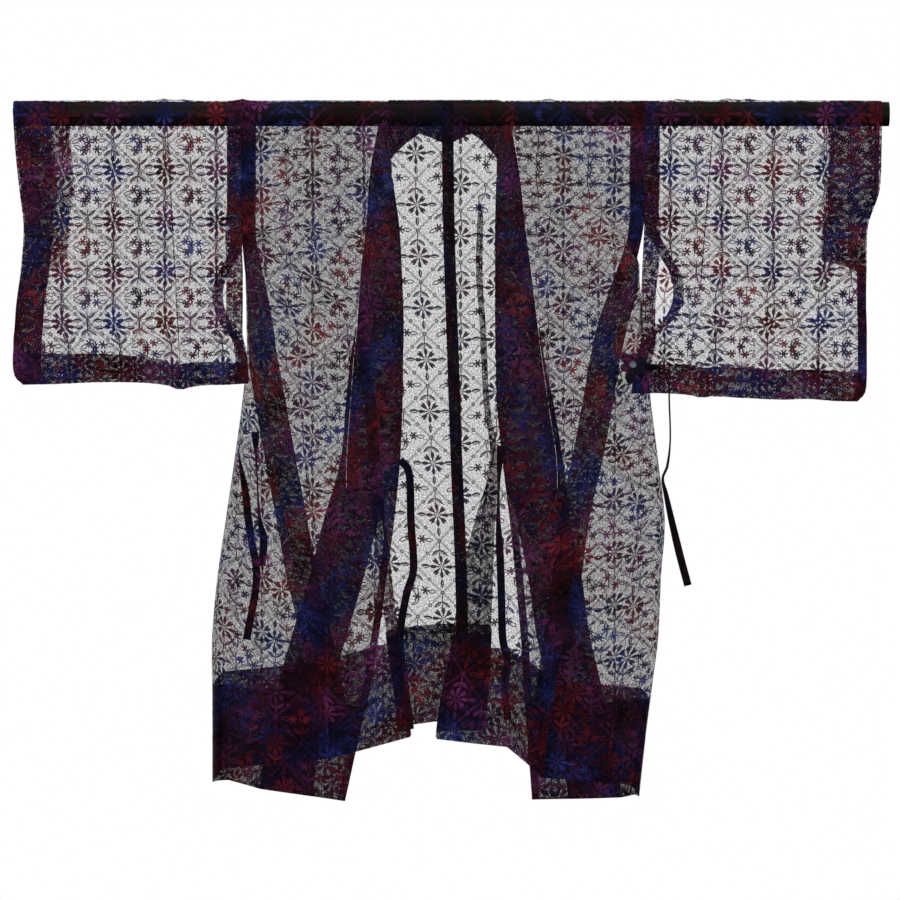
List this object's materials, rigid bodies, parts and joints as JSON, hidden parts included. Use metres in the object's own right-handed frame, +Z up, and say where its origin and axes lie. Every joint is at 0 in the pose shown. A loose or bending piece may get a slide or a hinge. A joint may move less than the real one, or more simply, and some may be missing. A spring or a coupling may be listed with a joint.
{
  "type": "kimono coat on a display rod",
  "caption": "Sheer summer kimono coat with wide sleeves, open front, long collar and flat ties, hung over a straight display rod through both sleeves.",
  "frame": {"origin": "middle of the coat's shoulder line on the display rod's axis, where a stand or two hooks would hold the rod", "axes": "+X along the rod to the wearer's right sleeve, +Y to the far side where the fronts and the collar hang, +Z up; the coat's back hangs on the -Y side"},
  "size_m": [1.3582, 0.1026, 1.0898],
  "materials": {
    "net_cloth": "fine dark net with a woven flower lattice in blue, red and purple",
    "collar_cloth": "the same net, folded to several layers",
    "tie_cloth": "the same net, folded to a flat dark ribbon",
    "rod_wood": "near-black stained wood, satin"
  },
  "bodies": {
    "root": {"rod": "rod_wood", "body_left": "net_cloth", "body_right": "net_cloth", "overlap_left": "net_cloth", "overlap_right": "net_cloth", "collar": "collar_cloth", "sleeve_left": "net_cloth", "sleeve_right": "net_cloth", "tie_front_left": "tie_cloth", "tie_front_right": "tie_cloth", "tie_inner_left": "tie_cloth", "tie_inner_left_short": "tie_cloth", "tie_outer_right": "tie_cloth", "knot": "tie_cloth"}
  },
  "joints": []
}
